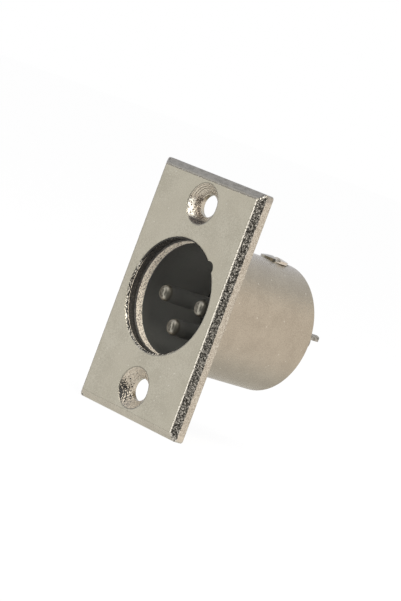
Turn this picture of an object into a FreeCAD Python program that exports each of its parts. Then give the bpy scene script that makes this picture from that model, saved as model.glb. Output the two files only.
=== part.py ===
"""Three-pin male panel socket: flanged die-cast shell, black insert, turned solder pins, retaining screw.

Frame: the origin is on the bore axis in the plane where the flange's back seats on the panel.
+Y runs through the panel towards the solder side, the mouth faces -Y, and +Z is along the flange.
Depths are counted from the flange's front face and are turned into Y by at_depth().
All sizes are in millimetres.
"""
import FreeCAD, Part
import math
import os

# flange
flange_width = 21.4
screw_spacing = 26.5
screw_margin = 4.25
flange_thickness = 2.0
flange_corner_radius = 0.45
front_corner_radius = 0.2
bevel_width = 0.95
bevel_depth = 0.85
edge_round = 0.12

# two countersunk panel screws on the long centre line
screw_hole_diameter = 3.2
countersink_diameter = 5.85
countersink_angle = 90.0

# mouth of the shell: lip, latch groove and the land that guides the plug
lip_diameter = 16.1
lip_length = 0.47
lip_break = 0.2
groove_depth = 0.4
groove_width = 1.16
land_step = 0.05
land_length = 1.35
land_break = 0.12

# keyway on the mouth
key_angle = 45.0
key_width = 2.1
key_reach = 0.75
key_length = 9.0

# walls, insert and barrel
sleeve_wall = 0.45
insert_clearance = 0.03
barrel_wall = 0.62
socket_depth = 14.5
web_thickness = 4.7
rear_recess = 0.3
barrel_end_break = 0.2
sleeve_mouth_break = 0.1

# contact pins
pin_diameter = 2.36
pin_circle = 7.62
pin_tip_depth = 2.35
pin_tip_flat = 0.76
pin_clearance = 0.02
root_diameter = 2.7
collar_diameter = 3.0
collar_length = 2.8
cup_diameter = 2.5
cup_bore = 1.7
cup_length = 6.4
cup_bore_depth = 5.0
cup_opening_length = 2.1
tongue_rise = 0.45
tongue_end_chamfer = 0.2

# retaining screw
spot_face_depth = 0.15
spot_face_margin = 0.2
head_diameter = 4.0
head_rim = 0.4
head_dome = 0.3
slot_width = 0.75
slot_depth = 0.5
slot_angle = 63.0
shank_diameter = 2.5
shank_length = 4.6
shank_chamfer = 0.4
shank_cover = 0.5
shell_hole_clearance = 0.1
shank_clearance = 0.03
hole_end_room = 0.3

# what follows from the sizes above
flange_height = screw_spacing + 2 * screw_margin
lip_radius = lip_diameter / 2
land_radius = lip_radius - land_step
groove_radius = lip_radius + groove_depth
seat_depth = lip_length + groove_width + land_length
insert_radius = land_radius + sleeve_wall
seat_radius = insert_radius + insert_clearance
barrel_radius = seat_radius + barrel_wall
insert_end_depth = socket_depth + web_thickness
barrel_end_depth = insert_end_depth + rear_recess
pin_radius = pin_diameter / 2
pin_tip_round = (pin_diameter - pin_tip_flat) / 2
root_radius = root_diameter / 2
collar_radius = collar_diameter / 2
cup_radius = cup_diameter / 2
shank_radius = shank_diameter / 2
screw_depth = socket_depth + shank_radius + shank_cover
spot_face_height = barrel_radius - spot_face_depth
overcut = 1.0
same_place = 1e-4

ALONG_Y = FreeCAD.Vector(0, 1, 0)
ALONG_Z = FreeCAD.Vector(0, 0, 1)


def at_depth(depth):
    """Y of a plane that lies this far behind the flange's front face."""
    return depth - flange_thickness


def cylinder_y(radius, start, end, x=0.0, z=0.0):
    """Cylinder along Y between two depths."""
    foot = FreeCAD.Vector(x, at_depth(start), z)
    return Part.makeCylinder(radius, end - start, foot, ALONG_Y)


def turned(profile):
    """Solid of revolution about Y from (radius, depth) points, closed along the axis."""
    points = [FreeCAD.Vector(radius, at_depth(depth), 0) for radius, depth in profile]
    face = Part.Face(Part.makePolygon(points + points[:1]))
    return face.revolve(FreeCAD.Vector(0, 0, 0), ALONG_Y, 360)


def rounded_plate(width, height, radius, start, end):
    """Plate with rounded corners between two depths."""
    plate = Part.makeBox(width, end - start, height, FreeCAD.Vector(-width / 2, at_depth(start), -height / 2))
    along_depth = [edge for edge in plate.Edges if abs(edge.BoundBox.YLength - (end - start)) < same_place]
    return plate.makeFillet(radius, along_depth)


def edges_at_depth(solid, depth):
    """Edges that lie wholly in the plane at this depth."""
    level = at_depth(depth)
    flat = [edge for edge in solid.Edges if edge.BoundBox.YLength < same_place]
    return [edge for edge in flat if abs(edge.BoundBox.YMin - level) < same_place]


def bevelled_flange():
    """Flange whose front edge is bevelled all round above a straight side."""
    inner_width = flange_width - 2 * bevel_width
    inner_height = flange_height - 2 * bevel_width
    base = rounded_plate(flange_width, flange_height, flange_corner_radius, bevel_depth, flange_thickness)
    front = rounded_plate(inner_width, inner_height, front_corner_radius, 0, bevel_depth)
    outer_wire = Part.Wire(Part.sortEdges(edges_at_depth(base, bevel_depth))[0])
    inner_wire = Part.Wire(Part.sortEdges(edges_at_depth(front, 0))[0])
    bevel = Part.makeLoft([inner_wire, outer_wire], True, True)
    return base.fuse(bevel).removeSplitter()


def mouth_cutter():
    """Lip, latch groove, land and the insert's seat, turned as one stepped bore."""
    lip_end = lip_length
    groove_end = lip_length + groove_width
    profile = [
        (0, -overcut),
        (lip_radius + lip_break, -overcut),
        (lip_radius + lip_break, 0),
        (lip_radius, lip_break),
        (lip_radius, lip_end),
        (groove_radius, lip_end),
        (groove_radius, groove_end),
        (land_radius + land_break, groove_end),
        (land_radius, groove_end + land_break),
        (land_radius, seat_depth),
        (seat_radius, seat_depth),
        (seat_radius, barrel_end_depth + overcut),
        (0, barrel_end_depth + overcut),
    ]
    return turned(profile)


def key_cutter(end):
    """Round cutter that leaves the half-round keyway on the mouth."""
    key_radius = key_width / 2
    centre = lip_radius + key_reach - key_radius
    turn = math.radians(key_angle)
    return cylinder_y(key_radius, -overcut, end, centre * math.cos(turn), centre * math.sin(turn))


def countersunk_hole(z):
    """Through hole with its countersink on the front face."""
    hole_radius = screw_hole_diameter / 2
    sink_radius = countersink_diameter / 2
    sink_depth = (sink_radius - hole_radius) / math.tan(math.radians(countersink_angle / 2))
    cutter = turned([
        (0, -overcut),
        (sink_radius, -overcut),
        (sink_radius, 0),
        (hole_radius, sink_depth),
        (hole_radius, flange_thickness + overcut),
        (0, flange_thickness + overcut),
    ])
    cutter.translate(FreeCAD.Vector(0, 0, z))
    return cutter


def shell():
    """One casting: bevelled flange, barrel, stepped mouth, keyway and the flat under the screw head."""
    flange = bevelled_flange()
    rounded = edges_at_depth(flange, 0) + edges_at_depth(flange, bevel_depth)
    flange = flange.makeFillet(edge_round, rounded)
    barrel = cylinder_y(barrel_radius, bevel_depth, barrel_end_depth)
    barrel = barrel.makeChamfer(barrel_end_break, edges_at_depth(barrel, barrel_end_depth))
    body = flange.fuse(barrel).removeSplitter()
    body = body.cut(mouth_cutter())
    body = body.cut(key_cutter(seat_depth))
    body = body.cut(countersunk_hole(screw_spacing / 2))
    body = body.cut(countersunk_hole(-screw_spacing / 2))
    screw_y = at_depth(screw_depth)
    spot_radius = head_diameter / 2 + spot_face_margin
    spot_foot = FreeCAD.Vector(0, screw_y, spot_face_height)
    body = body.cut(Part.makeCylinder(spot_radius, overcut, spot_foot, ALONG_Z))
    hole_radius = shank_radius + shell_hole_clearance
    hole_foot = FreeCAD.Vector(0, screw_y, seat_radius - overcut)
    return body.cut(Part.makeCylinder(hole_radius, barrel_wall + 2 * overcut, hole_foot, ALONG_Z))


def pin_places():
    """X and Z of the three contacts: left, right and bottom of the contact circle, seen from the mouth."""
    radius = pin_circle / 2
    return {"pin_1": (-radius, 0.0), "pin_2": (radius, 0.0), "pin_3": (0.0, -radius)}


def insert():
    """Moulded insert: a sleeve that lines the barrel and a web that holds the pins and the screw."""
    body = turned([
        (land_radius + sleeve_mouth_break, seat_depth),
        (insert_radius, seat_depth),
        (insert_radius, insert_end_depth),
        (0, insert_end_depth),
        (0, socket_depth),
        (land_radius, socket_depth),
        (land_radius, seat_depth + sleeve_mouth_break),
    ])
    body = body.cut(key_cutter(seat_depth + key_length))
    collar_start = insert_end_depth - collar_length
    for x, z in pin_places().values():
        root_hole = cylinder_y(root_radius + pin_clearance, socket_depth - overcut, collar_start, x, z)
        collar_hole = cylinder_y(collar_radius + pin_clearance, collar_start, insert_end_depth + overcut, x, z)
        body = body.cut(root_hole)
        body = body.cut(collar_hole)
    hole_foot = spot_face_height - shank_length - hole_end_room
    hole = Part.makeCylinder(shank_radius + shank_clearance, barrel_radius - hole_foot,
                             FreeCAD.Vector(0, at_depth(screw_depth), hole_foot), ALONG_Z)
    return body.cut(hole)


def pin(x, z):
    """Turned contact: rounded tip, shank, thicker root, collar and a solder cup that opens downwards."""
    collar_start = insert_end_depth - collar_length
    shank = cylinder_y(pin_radius, pin_tip_depth, socket_depth)
    shank = shank.makeFillet(pin_tip_round, edges_at_depth(shank, pin_tip_depth))
    cup_end = insert_end_depth + cup_length
    root = cylinder_y(root_radius, socket_depth, collar_start)
    collar = cylinder_y(collar_radius, collar_start, insert_end_depth)
    cup = cylinder_y(cup_radius, insert_end_depth, cup_end)
    cup = cup.makeChamfer(tongue_end_chamfer, edges_at_depth(cup, cup_end))
    body = shank.fuse([root, collar, cup]).removeSplitter()
    body = body.cut(cylinder_y(cup_bore / 2, cup_end - cup_bore_depth, cup_end + overcut))
    outer = cup_radius + overcut
    opening_corner = FreeCAD.Vector(-outer, at_depth(cup_end - cup_opening_length), -outer)
    opening = Part.makeBox(2 * outer, cup_opening_length + overcut, outer + tongue_rise, opening_corner)
    body = body.cut(opening)
    body = body.cut(tongue_corners(cup_end))
    body.translate(FreeCAD.Vector(x, 0, z))
    return body


def tongue_corners(cup_end):
    """What is cut from the tongue's end so that it is round seen from above."""
    start = at_depth(cup_end - cup_radius)
    outer = cup_radius + overcut
    block = Part.makeBox(2 * outer, outer, 2 * outer, FreeCAD.Vector(-outer, start, -outer))
    foot = FreeCAD.Vector(0, start, -outer - overcut)
    return block.cut(Part.makeCylinder(cup_radius, 2 * (outer + overcut), foot, ALONG_Z))


def retaining_screw():
    """Slotted screw with a low domed head that holds the insert through the barrel's wall."""
    head_radius = head_diameter / 2
    dome_radius = (head_radius ** 2 + head_dome ** 2) / (2 * head_dome)
    head = Part.makeCylinder(head_radius, head_rim + head_dome)
    dome = Part.makeSphere(dome_radius, FreeCAD.Vector(0, 0, head_rim + head_dome - dome_radius))
    head = head.common(dome)
    slot_floor = head_rim + head_dome - slot_depth
    slot = Part.makeBox(head_diameter + 2 * overcut, slot_width, slot_depth + overcut,
                        FreeCAD.Vector(-head_radius - overcut, -slot_width / 2, slot_floor))
    slot.rotate(FreeCAD.Vector(0, 0, 0), ALONG_Z, 90 + slot_angle)
    head = head.cut(slot)
    shank = Part.makeCylinder(shank_radius, shank_length, FreeCAD.Vector(0, 0, -shank_length), ALONG_Z)
    tip = [edge for edge in shank.Edges if edge.BoundBox.ZMax < same_place - shank_length]
    shank = shank.makeChamfer(shank_chamfer, tip)
    screw = head.fuse(shank).removeSplitter()
    screw.translate(FreeCAD.Vector(0, at_depth(screw_depth), spot_face_height))
    return screw


def pieces():
    """Every separate piece of the socket by name."""
    parts = {"shell": shell(), "insert": insert()}
    for name, (x, z) in pin_places().items():
        parts[name] = pin(x, z)
    parts["retaining_screw"] = retaining_screw()
    return parts


os.makedirs("parts", exist_ok=True)
for name, shape in pieces().items():
    shape.exportStep("parts/%s.step" % name)
    print(name, len(shape.Solids), shape.isValid(), round(shape.Volume, 2))
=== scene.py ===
# %% [markdown]
# # A round three-pin panel socket
#
# The real object is a small metal socket that is screwed into a hole in a panel. A plug goes into
# its round mouth and meets three silver pins, and the wires are soldered to cups on the other
# side. The metal is a zinc casting with satin nickel on it, and its skin is full of small grains
# that glitter.
# The CAD model already has the right shapes and sizes, so this lesson is about finish: how nickel,
# black plastic and silver are made from a few nodes, and which small details a mould or a lathe
# leaves on such pieces.

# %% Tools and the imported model
import math

import bpy
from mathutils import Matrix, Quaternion, Vector


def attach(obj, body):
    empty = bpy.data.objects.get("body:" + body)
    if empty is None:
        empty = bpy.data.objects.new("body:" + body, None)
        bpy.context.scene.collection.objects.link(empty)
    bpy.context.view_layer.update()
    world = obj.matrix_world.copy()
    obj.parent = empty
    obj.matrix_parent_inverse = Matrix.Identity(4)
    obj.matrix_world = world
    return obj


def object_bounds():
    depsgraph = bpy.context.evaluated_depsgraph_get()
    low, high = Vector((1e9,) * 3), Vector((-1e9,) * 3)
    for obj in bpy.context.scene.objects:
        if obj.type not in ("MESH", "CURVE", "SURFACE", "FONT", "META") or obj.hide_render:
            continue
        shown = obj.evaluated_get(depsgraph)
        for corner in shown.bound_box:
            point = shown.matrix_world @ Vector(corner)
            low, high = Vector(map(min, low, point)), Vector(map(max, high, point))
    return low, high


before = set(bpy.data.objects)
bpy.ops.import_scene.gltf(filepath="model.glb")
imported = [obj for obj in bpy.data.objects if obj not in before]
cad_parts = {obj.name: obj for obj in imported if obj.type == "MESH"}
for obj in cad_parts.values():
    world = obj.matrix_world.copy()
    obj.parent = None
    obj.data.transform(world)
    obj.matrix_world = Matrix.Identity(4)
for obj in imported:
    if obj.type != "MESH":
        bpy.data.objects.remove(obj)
cad_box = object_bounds()
MM = 0.001
print("nodes:", sorted(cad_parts))
print("size in mm:", [round((high - low) / MM, 2) for low, high in zip(*cad_box)])

# %% [markdown]
# ## Places on the object
#
# A finish that changes from place to place needs to know where things are. These are places of
# the CAD model in millimetres. The mouth faces -y, and z runs up along the flange. The last
# three are depths behind the front face, where the tone of the wall in the mouth changes.

# %% Places
FRONT_Y = -2.0
WEB_Y = 12.5
REAR_Y = 17.2
SCREW_Y = 14.25
FLAT_HALF_WIDTH, FLAT_HALF_HEIGHT = 9.75, 16.55
HOLE_Z, SINK_RADIUS = 13.25, 2.925
PIN_CIRCLE_RADIUS = 3.81
LIP_END, DARK_END, LAND_END = 0.46, 1.84, 3.10
print("flat part of the front:", 2 * FLAT_HALF_WIDTH, "by", 2 * FLAT_HALF_HEIGHT, "mm")

# %% [markdown]
# ## The camera
#
# The photograph looks at the mouth from the right with a long lens, and the object leans in it.
# The place, the aim and the lean were found by fitting the edges and circles of the real object,
# so they are written as plain numbers. A camera that is aimed by a quaternion and then turned
# about its own axis is easier to read than three angles.

# %% Camera
bpy.context.scene.view_settings.view_transform = "Standard"
LONG_SIDE, SENSOR, FOCAL_PIXELS = 601, 36.0, 3033.67
camera_place = Vector((301.88, -276.29, 24.71)) * MM
camera_aim = Vector((-3.437, 7.135, 0.430)) * MM
camera_lean = math.radians(20.5266)

bpy.ops.object.camera_add(location=camera_place)
camera = bpy.context.object
camera.rotation_mode = "QUATERNION"
towards = (camera_aim - camera_place).to_track_quat("-Z", "Y")
camera.rotation_quaternion = towards @ Quaternion((0, 0, 1), camera_lean)
camera.data.lens = FOCAL_PIXELS / LONG_SIDE * SENSOR
camera.data.clip_start, camera.data.clip_end = 0.01, 20
bpy.context.scene.camera = camera
print("lens in mm:", round(camera.data.lens, 1))

# %% [markdown]
# ## Shader maths that reads like Python
#
# A material is a graph of nodes. Written node by node it is long, so one small class wraps a
# socket and lets the usual operators add Math nodes. Every other node comes from one method,
# which sets the node up and links it.

# %% Shader helper
class Wire:
    """One output socket. Operators on it add Math nodes to the same tree."""

    def __init__(self, finish, socket):
        self.finish, self.socket = finish, socket

    def maths(self, operation, *values):
        settings, sockets = {"operation": operation}, dict(enumerate(values))
        return self.finish.add("ShaderNodeMath", settings, sockets)

    def __add__(self, other):
        return self.maths("ADD", self, other)

    def __sub__(self, other):
        return self.maths("SUBTRACT", self, other)

    def __rsub__(self, other):
        return self.maths("SUBTRACT", other, self)

    def __mul__(self, other):
        return self.maths("MULTIPLY", self, other)

    def __abs__(self):
        return self.maths("ABSOLUTE", self)

    def step(self, low, high, bottom=0.0, top=1.0):
        """A soft step from bottom to top while the value goes from low to high."""
        settings = {"interpolation_type": "SMOOTHSTEP"}
        ends = {"From Min": low, "From Max": high, "To Min": bottom, "To Max": top}
        return self.finish.add("ShaderNodeMapRange", settings, {"Value": self, **ends})

    def between(self, low, high, soft):
        """1 from low to high, 0 outside, with a soft rise of this width at both ends."""
        half = soft / 2
        return self.step(low - half, low + half) * self.step(high + half, high - half)


class Finish:
    """A material, or the world, whose nodes are added one at a time."""

    def __init__(self, name, owner=None):
        self.owner = owner or bpy.data.materials.new(name)
        self.owner.use_nodes = True
        self.tree = self.owner.node_tree
        self.tree.nodes.clear()

    def add(self, kind, settings, sockets, output=0):
        """Adds a node, sets it up, links the wires into it and gives back one of its outputs."""
        node = self.tree.nodes.new(kind)
        for name, value in settings.items():
            setattr(node, name, value)
        for name, value in sockets.items():
            if isinstance(value, Wire):
                self.tree.links.new(value.socket, node.inputs[name])
            elif isinstance(value, tuple) and node.inputs[name].type == "RGBA":
                node.inputs[name].default_value = (*value, 1)
            else:
                node.inputs[name].default_value = value
        return Wire(self, node.outputs[output]) if node.outputs else None

    def place(self):
        """Where a point is on the object, in millimetres."""
        sockets = {"Vector": self.add("ShaderNodeTexCoord", {}, {}, "Object"), "Scale": 1 / MM}
        return self.add("ShaderNodeVectorMath", {"operation": "SCALE"}, sockets)

    def parts(self, vector):
        """The x, y and z of a vector."""
        split = self.add("ShaderNodeSeparateXYZ", {}, {"Vector": vector})
        return [Wire(self, socket) for socket in split.socket.node.outputs]

    def vector(self, x, y, z):
        return self.add("ShaderNodeCombineXYZ", {}, {"X": x, "Y": y, "Z": z})

    def distance(self, x, z):
        """How far a point is from a line along y."""
        sockets = {0: self.vector(x, 0.0, z)}
        return self.add("ShaderNodeVectorMath", {"operation": "LENGTH"}, sockets, "Value")

    def noise(self, place, size, detail=2.0, roughness=0.5):
        """Soft noise whose lumps are about this many millimetres across."""
        sockets = {"Vector": place, "Scale": 1 / size, "Detail": detail, "Roughness": roughness}
        return self.add("ShaderNodeTexNoise", {}, sockets)

    def cells(self, place, size):
        """Pointed cells about this many millimetres across, as in cast grain."""
        sockets = {"Vector": place, "Scale": 1 / size}
        return self.add("ShaderNodeTexVoronoi", {}, sockets, "Distance")

    def blend(self, share, first, second):
        """A colour between two colours."""
        sockets = {0: share, 6: first, 7: second}
        return self.add("ShaderNodeMix", {"data_type": "RGBA"}, sockets, 2)

    def bump(self, height, depth, normal=None):
        """Turns a height from 0 to 1 into a normal. The depth is in millimetres."""
        sockets = {"Height": height, "Distance": depth * MM, "Strength": 1.0}
        if normal:
            sockets["Normal"] = normal
        return self.add("ShaderNodeBump", {}, sockets)

    def shade(self, **sockets):
        """Ends the material with a Principled shader. Underscores in the names are spaces."""
        named = {name.replace("_", " "): value for name, value in sockets.items()}
        surface = self.add("ShaderNodeBsdfPrincipled", {}, named)
        self.add("ShaderNodeOutputMaterial", {}, {"Surface": surface})
        return self.owner


print("shader helper ready")

# %% [markdown]
# ## The studio
#
# Shiny metal shows its surroundings, so the studio is half of its finish. The photograph was made
# in a white tent: nearly every face reflects white cloth, and only the faces that look back at the
# lens, such as the bevel on the right, reflect the dark opening that the lens looks through. The
# world is that tent. A ray from the camera sees plain white, and only a ray that comes off metal
# sees the opening, so matt pieces still get light from all sides.

# %% World
WHITE = (1.0, 1.0, 1.0)
world = bpy.data.worlds.new("white_tent")
bpy.context.scene.world = world
tent = Finish("white_tent", world)
direction = tent.add("ShaderNodeTexCoord", {}, {}, "Generated")
east, north, height = tent.parts(direction)
turn = east.maths("ARCTAN2", east, north * -1) * math.degrees(1)
opening = turn.between(9, 64, 3) * height.between(-0.32, 0.86, 0.06)
warm_side = (east * 0.7 + north * 0.7).step(0.2, 0.95)
far_corner = (east * -0.6 + north * 0.5 + abs(height) * 0.4 + height * 0.15).step(0.35, 0.80)
overhead = (east * -0.73 + height * 0.68).step(0.60, 0.95)
off_metal = tent.add("ShaderNodeLightPath", {}, {}, "Is Glossy Ray")
from_camera = tent.add("ShaderNodeLightPath", {}, {}, "Is Camera Ray")

cloth = tent.blend(warm_side, WHITE, (1.18, 1.10, 1.07))
cloth = tent.blend(far_corner, cloth, (0.90, 0.90, 0.94))
cloth = tent.blend(far_corner * height.step(-0.05, -0.3), cloth, (0.74, 0.71, 0.66))
cloth = tent.blend(overhead, cloth, (0.70, 0.715, 0.78))
cloth = tent.blend(opening * off_metal, cloth, (0.12, 0.117, 0.115))
lit = tent.add("ShaderNodeBackground", {}, {"Color": cloth, "Strength": 1.0})
seen = tent.add("ShaderNodeBackground", {}, {"Color": WHITE, "Strength": 1.0})
mixed = tent.add("ShaderNodeMixShader", {}, {0: from_camera, 1: lit, 2: seen})
tent.add("ShaderNodeOutputWorld", {}, {"Surface": mixed})
print("world ready with", len(tent.tree.nodes), "nodes")

# %% [markdown]
# The floor is pale and plain. Seen by the camera it is mostly a white glow with a little of the
# real floor mixed in, so it is as white as the tent and still keeps the soft shadow under the
# object. A ray that comes off metal goes through it and meets the tent, whose cloth goes on under
# the object in the photograph.

# %% Floor
GLOW_SHARE = 0.92
bpy.ops.object.select_all(action="DESELECT")
bpy.ops.mesh.primitive_plane_add(size=12, location=(0, 0, cad_box[0].z))
floor = bpy.context.object
floor.name = "floor"
paper = Finish("floor_paper")
matt = paper.add("ShaderNodeBsdfDiffuse", {}, {"Color": (0.93, 0.93, 0.93)})
glow = paper.add("ShaderNodeEmission", {}, {"Color": WHITE, "Strength": 1.0})
clear = paper.add("ShaderNodeBsdfTransparent", {}, {})
path = paper.add("ShaderNodeLightPath", {}, {}).socket.node.outputs
kinds = ("Camera", "Glossy", "Transmission")
camera_ray, metal_ray, glass_ray = (Wire(paper, path[f"Is {kind} Ray"]) for kind in kinds)
shares = {0: camera_ray * GLOW_SHARE, 1: matt, 2: glow}
seen_floor = paper.add("ShaderNodeMixShader", {}, shares)
shares = {0: metal_ray + glass_ray, 1: seen_floor, 2: clear}
seen_floor = paper.add("ShaderNodeMixShader", {}, shares)
paper.add("ShaderNodeOutputMaterial", {}, {"Surface": seen_floor})
floor.data.materials.append(paper.owner)

# %% [markdown]
# Soft boxes are brighter than the cloth. Both stand high. The one near the front puts glints on
# the grains of the bevel, and the one on the right lights the wall inside the mouth. Neither
# stands where the flat front would mirror it into the lens.

# %% Lamps
LAMP_DISTANCE = 0.5


def soft_box(name, turn, rise, wide, tall, glare, colour):
    """A lamp that faces the socket. Its bearing is in degrees and its glare is its radiance."""
    bearing, angle = math.radians(turn), math.radians(rise)
    flat = Vector((math.sin(bearing), -math.cos(bearing), 0)) * math.cos(angle)
    spot = (flat + Vector((0, 0, math.sin(angle)))) * LAMP_DISTANCE
    bpy.ops.object.light_add(type="AREA", location=spot)
    lamp = bpy.context.object
    lamp.name = name
    lamp.data.shape, lamp.data.size, lamp.data.size_y = "RECTANGLE", wide, tall
    lamp.data.energy, lamp.data.color = glare * math.pi * wide * tall, colour
    lamp.rotation_mode = "QUATERNION"
    lamp.rotation_quaternion = (-spot).to_track_quat("-Z", "Y")
    print(name, "stands at", [round(part, 2) for part in spot])


soft_box("front_box", 22, 38, 0.20, 0.30, 3.6, (1.0, 0.98, 0.95))
soft_box("right_box", 69, 52, 0.22, 0.22, 11.5, (1.0, 0.95, 0.87))

# %% [markdown]
# ## Satin nickel on a cast skin
#
# The plating follows the skin of the casting, which is full of grains about a fifth of a
# millimetre across. Each grain is nearly a mirror, so it is modelled as bump under a fairly smooth
# metal, and not as a rough metal.
# The finish changes with the place on the object. In the mouth the lip is painted dark with coarse
# painted glints low down, the latch groove behind it is painted dark as painted shade, and the land
# behind that is a bright, matt, granular wall. The long bevels carry a coarse speckle from dark to
# pale, partly grain and partly painted glints, and where they meet the front the edge carries a
# painted highlight. The barrel is a little browner, the top of the flange is darker and its foot
# paler, and the edge between the top and the front carries painted glints.
# Each zone is a number from 0 to 1. The distances past the flat part of the front are negative on
# the flat part itself, and noise that is added to them makes the borders of a zone wander.

# %% Shell zones
cast = Finish("shell_satin_nickel")
place = cast.place()
x, y, z = cast.parts(place)
depth = y - FRONT_Y
bore = cast.distance(x, z)
past_side = abs(x) - FLAT_HALF_WIDTH
past_end = abs(z) - FLAT_HALF_HEIGHT
past_top = z - FLAT_HALF_HEIGHT
grains = cast.noise(place, 0.19)
wander = grains * 0.2 - 0.1

front = depth.step(0.20, 0.12)
# Low down the lip carries painted glints and its back corner takes the land's pale tone; higher up
# the corner takes the groove's painted shade.
low_down = z.step(4.5, 1.5)
lip_corner = depth.between(0.37, LIP_END, 0.03)
dark_ring = depth.between(LIP_END, DARK_END, 0.03) + lip_corner * (1.0 - low_down)
# The latch groove is painted dark, as painted shade in the recess.
groove_painted_shade = bore.between(7.90, 8.70, 0.04) * dark_ring
pale_ring = depth.between(DARK_END, LAND_END, 0.03) + lip_corner * low_down
land = bore.between(7.90, 8.20, 0.04) * pale_ring
lip = bore.between(7.90, 8.26, 0.03) * depth.between(0.03, 0.37, 0.03)
barrel = bore.between(9.00, 9.30, 0.04) * depth.step(2.1, 2.4)
# On the bevels the coarse grain is painted from dark to pale: partly grain, partly painted glints.
bevel = (past_side + wander).step(0.07, 0.15) * (depth + wander * 1.6).step(0.92, 0.84)
# A painted highlight along the edge where the bevels meet the front.
painted_edge_highlight = (past_side + wander * 0.6).between(-0.05, 0.11, 0.06)
painted_edge_highlight = painted_edge_highlight * depth.step(0.26, 0.18) * past_end.step(-0.05, -0.15)
side = past_side.step(0.77, 0.85) * depth.step(0.80, 0.90) * (1.0 - bevel)
top = past_top.step(-0.05, 0.05) * (1.0 - front)
# Painted glints along the edge where the top meets the front.
painted_top_edge_glints = (past_top + wander * 1.5).between(-0.13, 0.07, 0.06)
painted_top_edge_glints = painted_top_edge_glints * depth.step(0.30, 0.20) * past_side.step(-0.05, -0.15)
foot = (z + FLAT_HALF_HEIGHT).step(0.09, 0.01) * (1.0 - bevel)
back = depth.step(1.94, 1.97) * bore.step(9.10, 9.40)
print("zones of the shell ready")

# %% [markdown]
# The two countersinks differ. The upper one was cut last and has a cutter's rings at its top, a
# torn patch on its left wall that is painted bright as a painted highlight, brown grain further in
# and painted shade at its bottom. The lower one is pale, with black grain on its left and a grey
# smudge further down. A thin dark line runs round both rims.

# %% Countersinks
def wedge(sideways, above, middle):
    """Distances along and across a line that leans this many degrees below the left side."""
    lean = math.radians(middle)
    return (
        sideways * -math.cos(lean) - above * math.sin(lean),
        sideways * math.sin(lean) - above * math.cos(lean),
    )


hole = cast.distance(x, abs(z) - HOLE_Z)
sink = hole.step(SINK_RADIUS + 0.015, SINK_RADIUS - 0.045) * depth.between(0.05, 1.36, 0.06)
rim_line = hole.between(SINK_RADIUS - 0.075, SINK_RADIUS + 0.015, 0.06) * depth.step(0.20, 0.12)
upper = sink * z.step(-0.1, 0.1)
lower = sink - upper

out, across = wedge(x, z - HOLE_Z, 30)
# A torn patch on the left wall, painted bright as a painted highlight.
torn_patch_highlight = upper * (hole + wander * 4.0).step(1.95, 2.55) * out.step(1.2, 1.9)
torn_patch_highlight = torn_patch_highlight * (across + wander * 4.0).between(-1.5, 1.5, 0.5)
rust = upper * (1.0 - torn_patch_highlight) * out.step(0.3, 1.3) * across.between(-1.7, 1.9, 0.8)
cracks = upper * (grains + rust * 0.17 + torn_patch_highlight * 0.09).step(0.62, 0.67)
# Painted shade at the bottom of the upper countersink.
sink_bottom_shade = upper * (z + wander * 4.0).step(11.55, 10.85)

out, across = wedge(x, z + HOLE_Z, 24)
# Black grain on the left wall of the lower countersink.
black_grain_area = out.step(0.5, 2.8) * across.between(-1.5, 1.7, 1.6)
black_grain = lower * (grains + black_grain_area * 0.28).step(0.66, 0.71)
out, across = wedge(x, z + HOLE_Z, 66)
dusty = out.step(0.9, 2.6) * across.between(-1.6, 1.2, 1.4)
smudge = lower * (grains + dusty * 0.17).step(0.58, 0.68)
print("zones of the countersinks ready")

# %% [markdown]
# The colours follow as a list of coats, each laid over what is below it. Matt zones take light
# from all round instead of a reflection, so their metal value is low. The bump comes last: the
# grain of the casting, a few pimples, the rounded rims of the front and the cutter's rings.

# %% Shell finish
fine = cast.noise(place, 0.13, 2.0, 0.6)
coarse = cast.noise(place, 0.25)
pits = cast.cells(place, 0.17)
# Pimples: real bumps, which also carry a pale tone as painted glints.
pimples_and_glints = cast.cells(place, 1.3).step(0.12, 0.04)
cloud = cast.noise(place, 2.6)
patina = cast.noise(place, 7.0)
rings = cast.noise(cast.vector(0.0, y, 0.0), 0.11) + grains * 0.3 - 0.15
brushed = cast.noise(cast.vector(x * 0.4, y, z), 0.4, 3.0, 0.6)
mottle = (cloud * 0.4 + grains * 0.6).step(0.35, 0.65)
sparks = fine.step(0.50, 0.60)
glint = coarse.step(0.50, 0.60) * low_down

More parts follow.
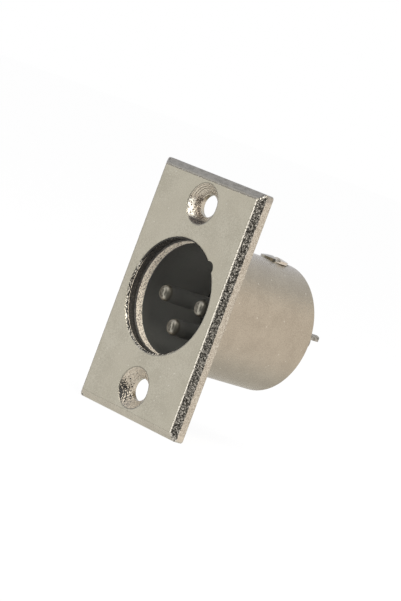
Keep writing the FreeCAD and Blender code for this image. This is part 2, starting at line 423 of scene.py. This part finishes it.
coats = [
    (patina.step(0.35, 0.65) * 0.6, (0.475, 0.44, 0.355)),
    (barrel, cast.blend(mottle, (0.345, 0.308, 0.240), (0.415, 0.375, 0.295))),
    # Pale dots on the pimples are painted glints.
    (pimples_and_glints * 0.5, (0.70, 0.665, 0.57)),
    (side, cast.blend(fine.step(0.40, 0.60), (0.34, 0.305, 0.245), (0.58, 0.55, 0.46))),
    (top, cast.blend(brushed.step(0.35, 0.65), (0.31, 0.29, 0.245), (0.41, 0.385, 0.33))),
    # Painted glints on the top edge.
    (painted_top_edge_glints * 0.7, cast.blend(coarse.step(0.56, 0.63), (0.31, 0.275, 0.215), (0.80, 0.76, 0.66))),
    (foot, cast.blend(mottle, (0.475, 0.44, 0.36), (0.57, 0.53, 0.435))),
    # Bevel speckle: grain with painted glints.
    (bevel, cast.blend(coarse.step(0.42, 0.60), (0.13, 0.12, 0.10), (0.74, 0.69, 0.60))),
    # Painted highlight on the edge between the bevels and the front.
    (painted_edge_highlight, cast.blend(coarse.step(0.35, 0.50), (0.36, 0.335, 0.28), (0.82, 0.78, 0.69))),
    (land, cast.blend(grains.step(0.34, 0.54), (0.20, 0.16, 0.125), (0.92, 0.84, 0.71))),
    # Painted shade in the groove, and the lip painted dark with painted glints low down.
    (groove_painted_shade, cast.blend(sparks, (0.035, 0.033, 0.03), (0.11, 0.10, 0.085))),
    (lip, cast.blend(glint, (0.03, 0.028, 0.025), (0.62, 0.58, 0.50))),
    (upper, cast.blend(rings.step(0.42, 0.58), (0.23, 0.20, 0.155), (0.55, 0.50, 0.41))),
    (rust, cast.blend(sparks, (0.22, 0.175, 0.125), (0.66, 0.59, 0.48))),
    # Painted highlight on the torn patch, then painted shade at the bottom of the upper
    # countersink.
    (torn_patch_highlight, (0.93, 0.89, 0.79)),
    (sink_bottom_shade, cast.blend(sparks, (0.02, 0.018, 0.018), (0.13, 0.11, 0.09))),
    (lower, cast.blend(fine.step(0.35, 0.60), (0.34, 0.295, 0.23), (0.56, 0.505, 0.415))),
    (cracks * 0.9, (0.06, 0.048, 0.038)),
    (rim_line * 0.6, (0.12, 0.11, 0.09)),
    (smudge * 0.7, (0.16, 0.15, 0.14)),
    (black_grain, (0.018, 0.017, 0.015)),
]
tone = cast.blend(mottle, (0.415, 0.385, 0.310), (0.500, 0.468, 0.385))
for share, colour in coats:
    tone = cast.blend(share, tone, colour)

metal = 1.0 - land * 0.85 - groove_painted_shade * 0.7 - lip * 0.4 - sink * 0.6 - painted_edge_highlight * 0.6
rough = grains.step(0.3, 0.7, 0.12, 0.22) + land * 0.4 + groove_painted_shade * 0.3 + sink * 0.2
skin = (grains * 0.6 + pits * 0.4) * (1.0 - front * 0.35 - barrel * 0.25 - back * 0.60)
rim = (bore + wander).step(8.23, 8.40)
rim = rim * (hole + wander).step(SINK_RADIUS - 0.015, SINK_RADIUS + 0.155)
rim = rim * (past_side + wander).step(0.0, -0.17) * (past_end + wander).step(0.0, -0.13)
normal = cast.bump(skin, 0.075)
normal = cast.bump(pimples_and_glints, 0.02, normal)
normal = cast.bump(rim * front, 0.07, normal)
normal = cast.bump(rings * upper, 0.05, normal)
shell_finish = cast.shade(Base_Color=tone, Metallic=metal, Roughness=rough, Normal=normal)
print("shell finish has", len(coats), "coats and", len(cast.tree.nodes), "nodes")

# %% [markdown]
# The screw is turned from steel and plated bright, so it has less grain and more shine. One half of
# its head is painted darker, as painted shade.

# %% Screw
bright = Finish("screw_bright_nickel")
place = bright.place()
x, y, z = bright.parts(place)
scuffs = bright.noise(place, 0.3, 3.0, 0.6)
# One half of the head painted darker: painted shade.
painted_shade_half = (x * 0.68 + (y - SCREW_Y) * 0.73).step(0.2, -0.5)
tone = bright.blend(scuffs.step(0.3, 0.7), (0.46, 0.42, 0.35), (0.60, 0.555, 0.47))
tone = bright.blend(painted_shade_half, tone, (0.36, 0.335, 0.28))
screw_finish = bright.shade(
    Base_Color=tone,
    Metallic=1.0,
    Roughness=scuffs.step(0.3, 0.7, 0.12, 0.24),
    Normal=bright.bump(scuffs, 0.02),
)

# %% [markdown]
# ## Black moulding
#
# The insert is moulded in one piece from black plastic. It is matt, with a faint speckle from the
# mould's skin. Inside the sleeve the skin is painted paler the deeper it lies, as painted light
# where less light reaches. Whatever stands proud of the rear face is rubbed paler, so that the
# raised figures can be read.

# %% Insert
moulding = Finish("insert_black_moulding")
place = moulding.place()
x, y, z = moulding.parts(place)
speckle = moulding.noise(place, 0.25)
inside = y.step(WEB_Y - 0.05, WEB_Y - 0.15) * moulding.distance(x, z).step(8.20, 8.10)
# Paler the deeper inside the sleeve: painted light.
painted_depth_light = moulding.blend(y.step(0.0, 12.0), (0.055, 0.055, 0.050), (0.27, 0.27, 0.25))
proud = y.step(REAR_Y + 0.06, REAR_Y + 0.09)
tone = moulding.blend(speckle.step(0.3, 0.7), (0.035, 0.035, 0.032), (0.045, 0.045, 0.041))
tone = moulding.blend(inside, tone, painted_depth_light)
tone = moulding.blend(proud, tone, (0.115, 0.115, 0.107))
insert_finish = moulding.shade(
    Base_Color=tone,
    Roughness=speckle.step(0.3, 0.7, 0.45, 0.6),
    Normal=moulding.bump(speckle, 0.006),
)

# %% [markdown]
# ## Dull silver
#
# The contacts are turned from brass and plated. Their tips are grey and mottled, so the plate is
# tarnished there. Over the tarnish each tip carries a painted pale ring and a painted paler upright
# streak, which are painted highlights, a painted dark patch beside the streak, which is a painted
# dark reflection, and painted shade on its right rim. The cups at the other end are cleaner. The
# cutter leaves fine rings, which are noise that changes along y only. The marks on a tip are placed
# by the distances across and up from the axis of the nearest pin: two pins stand level with the
# middle of the mouth and one stands below it.

# %% Contacts
silver = Finish("pin_turned_silver")
place = silver.place()
x, y, z = silver.parts(place)
lathe = silver.noise(silver.vector(0.0, y, 0.0), 0.12)
tarnish = silver.noise(place, 0.4)
level_pair = z.step(-2.0, -1.8)
across = x - x.maths("SIGN", x) * level_pair * PIN_CIRCLE_RADIUS
up = z + PIN_CIRCLE_RADIUS - level_pair * PIN_CIRCLE_RADIUS

tip = y.step(1.20, 1.05)
cup = y.step(REAR_Y - 0.2, REAR_Y - 0.1)
shank = 1.0 - tip - cup
# Painted highlights on the tip: a pale ring and a paler upright streak. Beside the streak is a
# painted dark reflection, and on the right rim painted shade.
painted_ring_highlight = silver.distance(across, up).between(0.70, 0.98, 0.16)
leaning = across + up * 0.2 + tarnish * 0.6 - 0.3
painted_streak_highlight = leaning.between(0.12, 0.40, 0.20) * up.between(-0.75, 0.70, 0.30)
painted_dark_reflection = leaning.between(0.46, 0.66, 0.14) * up.between(-0.35, 0.40, 0.30)
painted_far_rim_shade = across.step(0.50, 0.85)

# The shanks are painted paler the deeper they lie: painted light.
shank_depth_painted_light = silver.blend(y.step(1.0, 12.0), (0.085, 0.085, 0.078), (0.30, 0.30, 0.28))
cup_tone = silver.blend(tarnish.step(0.30, 0.70), (0.13, 0.12, 0.098), (0.33, 0.31, 0.265))
coats = [
    # Painted highlights, painted dark reflection and painted shade on the tips.
    (painted_ring_highlight * tip, (0.30, 0.28, 0.235)),
    (painted_streak_highlight * tip * 0.5, (0.62, 0.59, 0.49)),
    (painted_dark_reflection * tip * 0.6, (0.05, 0.046, 0.036)),
    (painted_far_rim_shade * tip, (0.085, 0.08, 0.065)),
    (shank, shank_depth_painted_light),
    (cup, cup_tone),
]
tone = silver.blend(tarnish.step(0.3, 0.7), (0.075, 0.067, 0.052), (0.17, 0.157, 0.13))
for share, colour in coats:
    tone = silver.blend(share, tone, colour)
pin_finish = silver.shade(
    Base_Color=tone,
    Metallic=0.75 - shank * 0.55,
    Roughness=tarnish.step(0.3, 0.7, 0.28, 0.38) + shank * 0.30 + painted_far_rim_shade * tip * 0.2,
    Normal=silver.bump(lathe, 0.01),
)

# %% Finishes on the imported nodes
finish_of = {"shell": shell_finish, "insert": insert_finish, "retaining_screw": screw_finish}
finish_of.update({f"pin_{number}": pin_finish for number in (1, 2, 3)})
for name, material in finish_of.items():
    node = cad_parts[name]
    for slot in node.material_slots:
        slot.material = material
print("finished nodes:", sorted(finish_of))

# %% [markdown]
# ## What the mould leaves on the insert
#
# The rear of the insert carries raised numbers, so that each wire finds its cup, and two round
# marks where pins pushed the moulding out of its tool. Nobody sees them in the photograph. They
# are what such a moulding has. Each stands proud of the rear face by a little and is sunk into it
# by less, so that no gap shows.

# %% Raised numbers
PROUD, SUNK = 0.12, 0.005
FIGURE_SIZE = 1.9
FIGURE_RADIUS = 6.95


def numeral(number, x, z):
    """A raised figure on the rear face, upright when the face is looked at from behind."""
    bpy.ops.object.select_all(action="DESELECT")
    bpy.ops.object.text_add()
    figure = bpy.context.object
    figure.name = f"numeral_{number}"
    figure.data.body, figure.data.size = str(number), FIGURE_SIZE * MM
    figure.data.align_x, figure.data.align_y = "CENTER", "CENTER"
    figure.data.extrude, figure.data.resolution_u = PROUD / 2 * MM, 6
    bpy.ops.object.convert(target="MESH")
    figure = bpy.context.object
    bpy.ops.object.mode_set(mode="EDIT")
    bpy.ops.mesh.select_all(action="SELECT")
    bpy.ops.mesh.remove_doubles(threshold=0.001 * MM)
    bpy.ops.mesh.normals_make_consistent(inside=False)
    bpy.ops.object.mode_set(mode="OBJECT")
    figure.rotation_euler = (math.radians(90), 0, math.radians(180))
    figure.location = (x * MM, (REAR_Y + PROUD / 2 - SUNK) * MM, z * MM)
    bpy.ops.object.transform_apply(location=True, rotation=True, scale=True)
    return figure


figure_places = {1: (-FIGURE_RADIUS, 0.0), 2: (FIGURE_RADIUS, 0.0), 3: (0.0, -FIGURE_RADIUS)}
marks = [numeral(number, x, z) for number, (x, z) in figure_places.items()]
print("numerals:", [len(mark.data.polygons) for mark in marks], "faces")

# %% Ejector marks
MARK_RADIUS, MARK_HEIGHT = 0.8, 0.06


def ejector_mark(name, x, z):
    """A thin round witness mark, sunk inside a narrow rim."""
    bpy.ops.object.select_all(action="DESELECT")
    bpy.ops.mesh.primitive_cylinder_add(
        vertices=48, radius=MARK_RADIUS * MM, depth=MARK_HEIGHT * MM
    )
    mark = bpy.context.object
    mark.name = name
    bpy.ops.object.mode_set(mode="EDIT")
    bpy.ops.mesh.select_mode(type="FACE")
    bpy.ops.mesh.select_all(action="DESELECT")
    bpy.ops.object.mode_set(mode="OBJECT")
    for face in mark.data.polygons:
        face.select = face.normal.z > 0.9
    bpy.ops.object.mode_set(mode="EDIT")
    bpy.ops.mesh.inset(thickness=0.09 * MM, depth=0)
    bpy.ops.transform.resize(value=(0.97, 0.97, 1.0))
    bpy.ops.mesh.inset(thickness=0.03 * MM, depth=-0.035 * MM)
    bpy.ops.object.mode_set(mode="OBJECT")
    mark.rotation_euler = (math.radians(-90), 0, 0)
    mark.location = (x * MM, (REAR_Y + MARK_HEIGHT / 2 - SUNK) * MM, z * MM)
    bpy.ops.object.transform_apply(location=True, rotation=True, scale=True)
    return mark


marks.append(ejector_mark("ejector_mark_left", -3.6, 4.7))
marks.append(ejector_mark("ejector_mark_right", 3.6, 4.7))
for mark in marks:
    mark.data.materials.clear()
    mark.data.materials.append(insert_finish)
    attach(mark, "root")
print("mould marks:", [mark.name for mark in marks])
